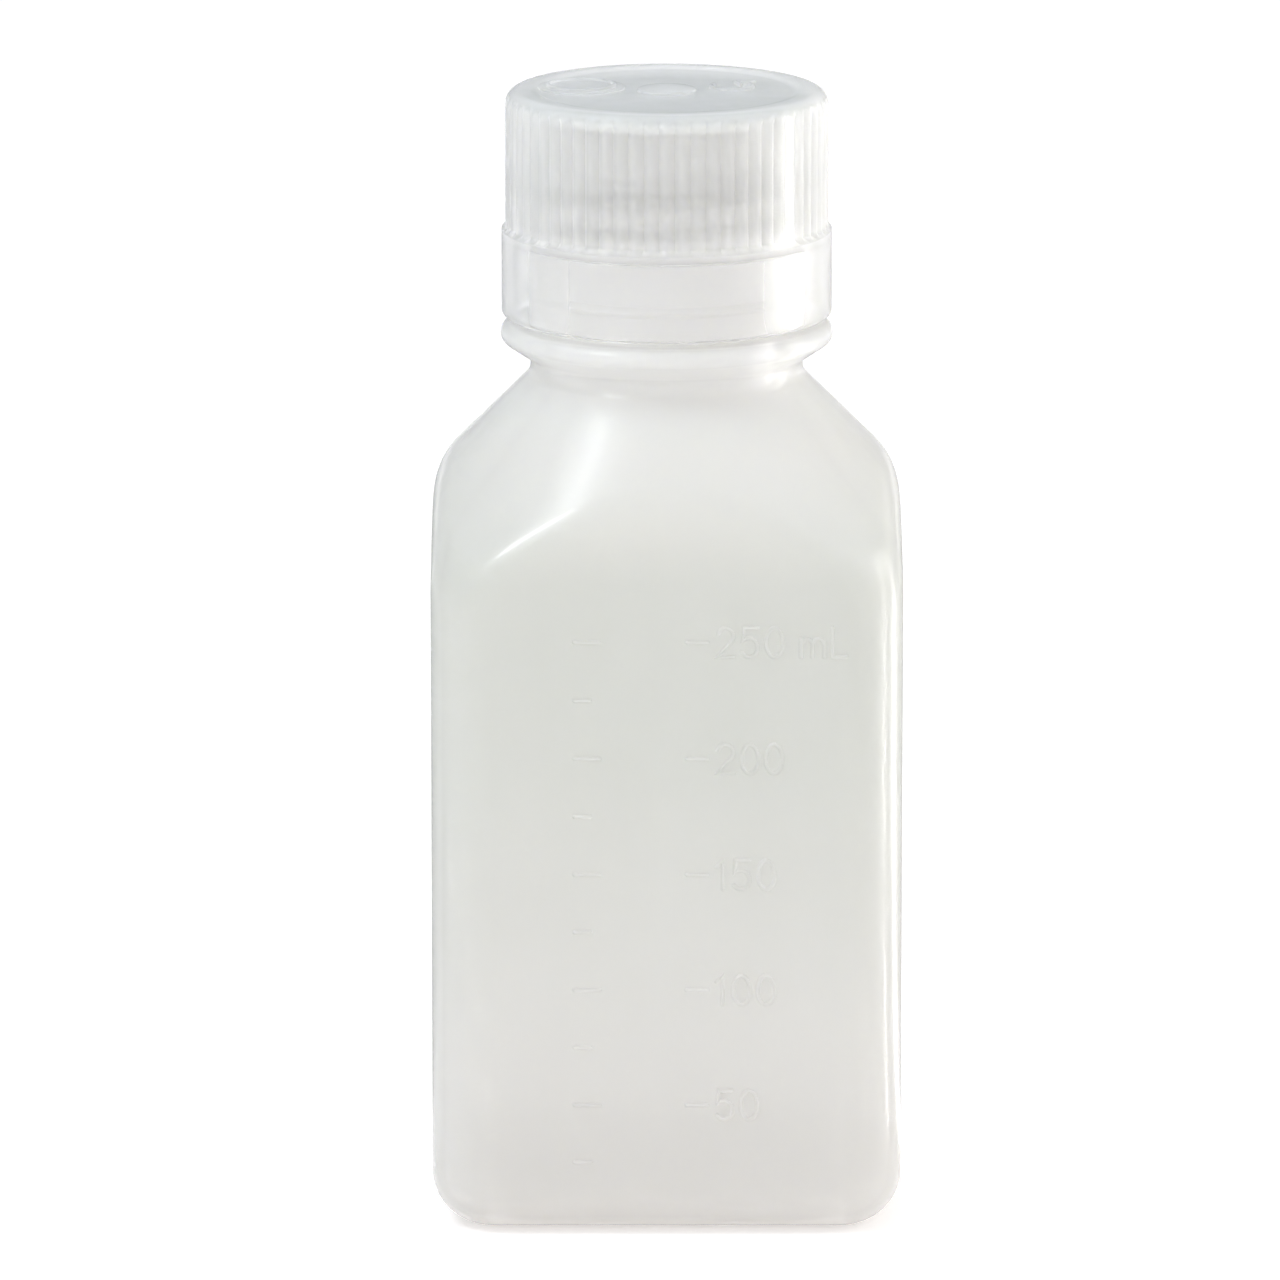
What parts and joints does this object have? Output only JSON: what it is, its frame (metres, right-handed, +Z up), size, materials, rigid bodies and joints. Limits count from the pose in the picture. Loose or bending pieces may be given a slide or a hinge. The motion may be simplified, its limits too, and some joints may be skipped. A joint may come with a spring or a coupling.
{
  "type": "reagent bottle",
  "caption": "Square translucent laboratory bottle with a sloping shoulder, a raised volume scale, a screw-threaded neck and a ribbed screw cap over a sealing liner.",
  "frame": {"origin": "centre of the base, on the surface the bottle stands on", "axes": "+Z up along the neck and the screw; -Y is the face with the volume scale; +X is to the right when facing the scale"},
  "size_m": [0.0604, 0.0607, 0.1448],
  "materials": {
    "natural_polyethylene": "milky translucent blow-moulded polyethylene with a soft satin sheen",
    "natural_polypropylene": "translucent injection-moulded polypropylene, semi-gloss",
    "liner_foam": "white closed-cell foam liner, matt"
  },
  "bodies": {
    "bottle": {"bottle": "natural_polyethylene"},
    "liner": {"cap_liner": "liner_foam"},
    "cap": {"screw_cap": "natural_polypropylene"}
  },
  "joints": [
    {"name": "cap_lift", "type": "slide", "parent": "bottle", "child": "liner", "axis": [0, 0, 1], "range_m": [0, 0.0424]},
    {"name": "cap_turn", "type": "hinge", "parent": "liner", "child": "cap", "pos_m": [0, 0, 0.13], "axis": [0, 0, 1], "range_deg": [0, 3600]}
  ],
  "couplings": [
    {"joint": "cap_lift", "follows": "cap_turn", "m_per_rad": 0.00067375}
  ]
}
